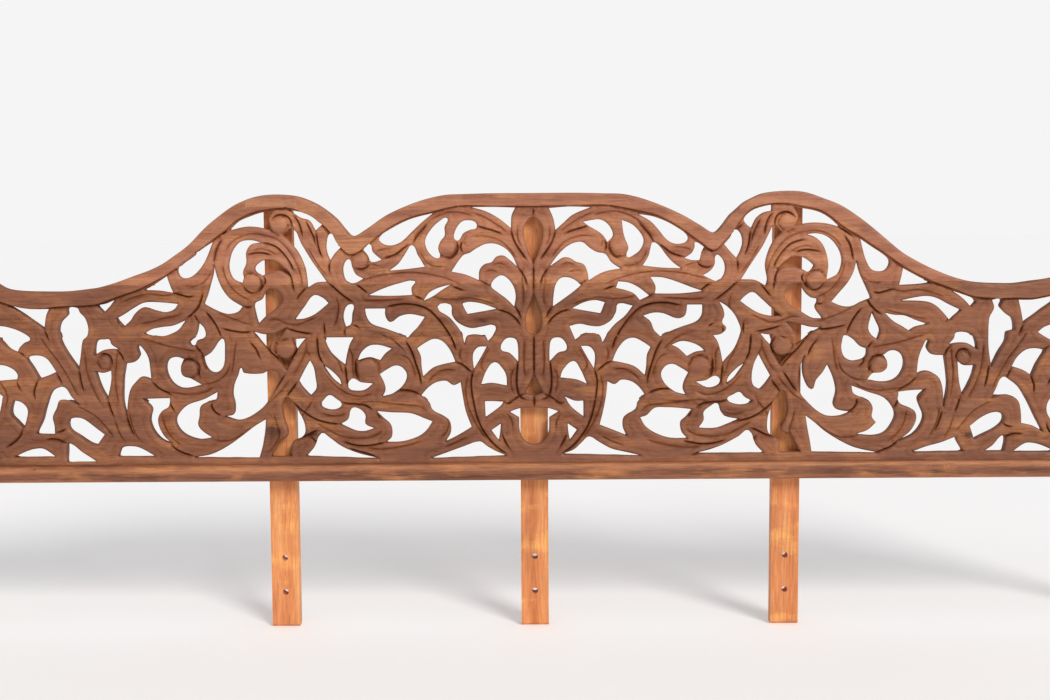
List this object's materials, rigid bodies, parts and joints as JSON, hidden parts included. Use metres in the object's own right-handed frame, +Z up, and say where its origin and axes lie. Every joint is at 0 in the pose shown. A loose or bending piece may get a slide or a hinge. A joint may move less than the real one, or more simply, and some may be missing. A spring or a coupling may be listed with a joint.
{
  "type": "headrest",
  "caption": "Pierced and relief-carved teak daybed headrest: scrolling leaves and spirals under a plain wavy crest band, on a bottom rail, with upright battens behind to bolt it to the frame",
  "frame": {"origin": "middle of the centre post's pair of bolt holes, on the post's front face", "axes": "+X along the headrest, to the right as seen from the carved front; the carved face looks to -Y; +Z up"},
  "size_m": [1.83, 0.048, 0.617],
  "materials": {
    "rail_teak": "wiped oil over a planed batten, lighter and yellower than the carving",
    "board_low_teak": "oiled reddish-brown teak, hand carved, satin",
    "board_mid_teak": "oiled reddish-brown teak, hand carved, satin",
    "board_upper_teak": "oiled reddish-brown teak, hand carved, satin",
    "crest_teak": "oiled reddish-brown teak, plain planed band over the carving, satin",
    "patch_teak": "lighter oiled teak let into the hump",
    "stile_teak": "oiled reddish-brown teak, planed, satin",
    "post_wood": "raw orange sawn hardwood batten",
    "screw_steel": "dull zinc plating",
    "dowel_beech": "plain turned dowel"
  },
  "bodies": {
    "root": {"rail": "rail_teak", "board_low": "board_low_teak", "board_mid": "board_mid_teak", "board_upper": "board_upper_teak", "crest_main": "crest_teak", "crest_left": "crest_teak", "crest_right": "crest_teak", "hump_cap": "patch_teak", "stile_left": "stile_teak", "stile_right": "stile_teak", "post_centre": "post_wood", "post_left": "post_wood", "post_right": "post_wood", "post_end_left": "post_wood", "post_end_right": "post_wood", "screws_centre": "screw_steel", "screws_left": "screw_steel", "screws_right": "screw_steel", "screws_end_left": "screw_steel", "screws_end_right": "screw_steel", "dowels_rail": "dowel_beech", "dowels_stile_left": "dowel_beech", "dowels_stile_right": "dowel_beech"}
  },
  "joints": []
}
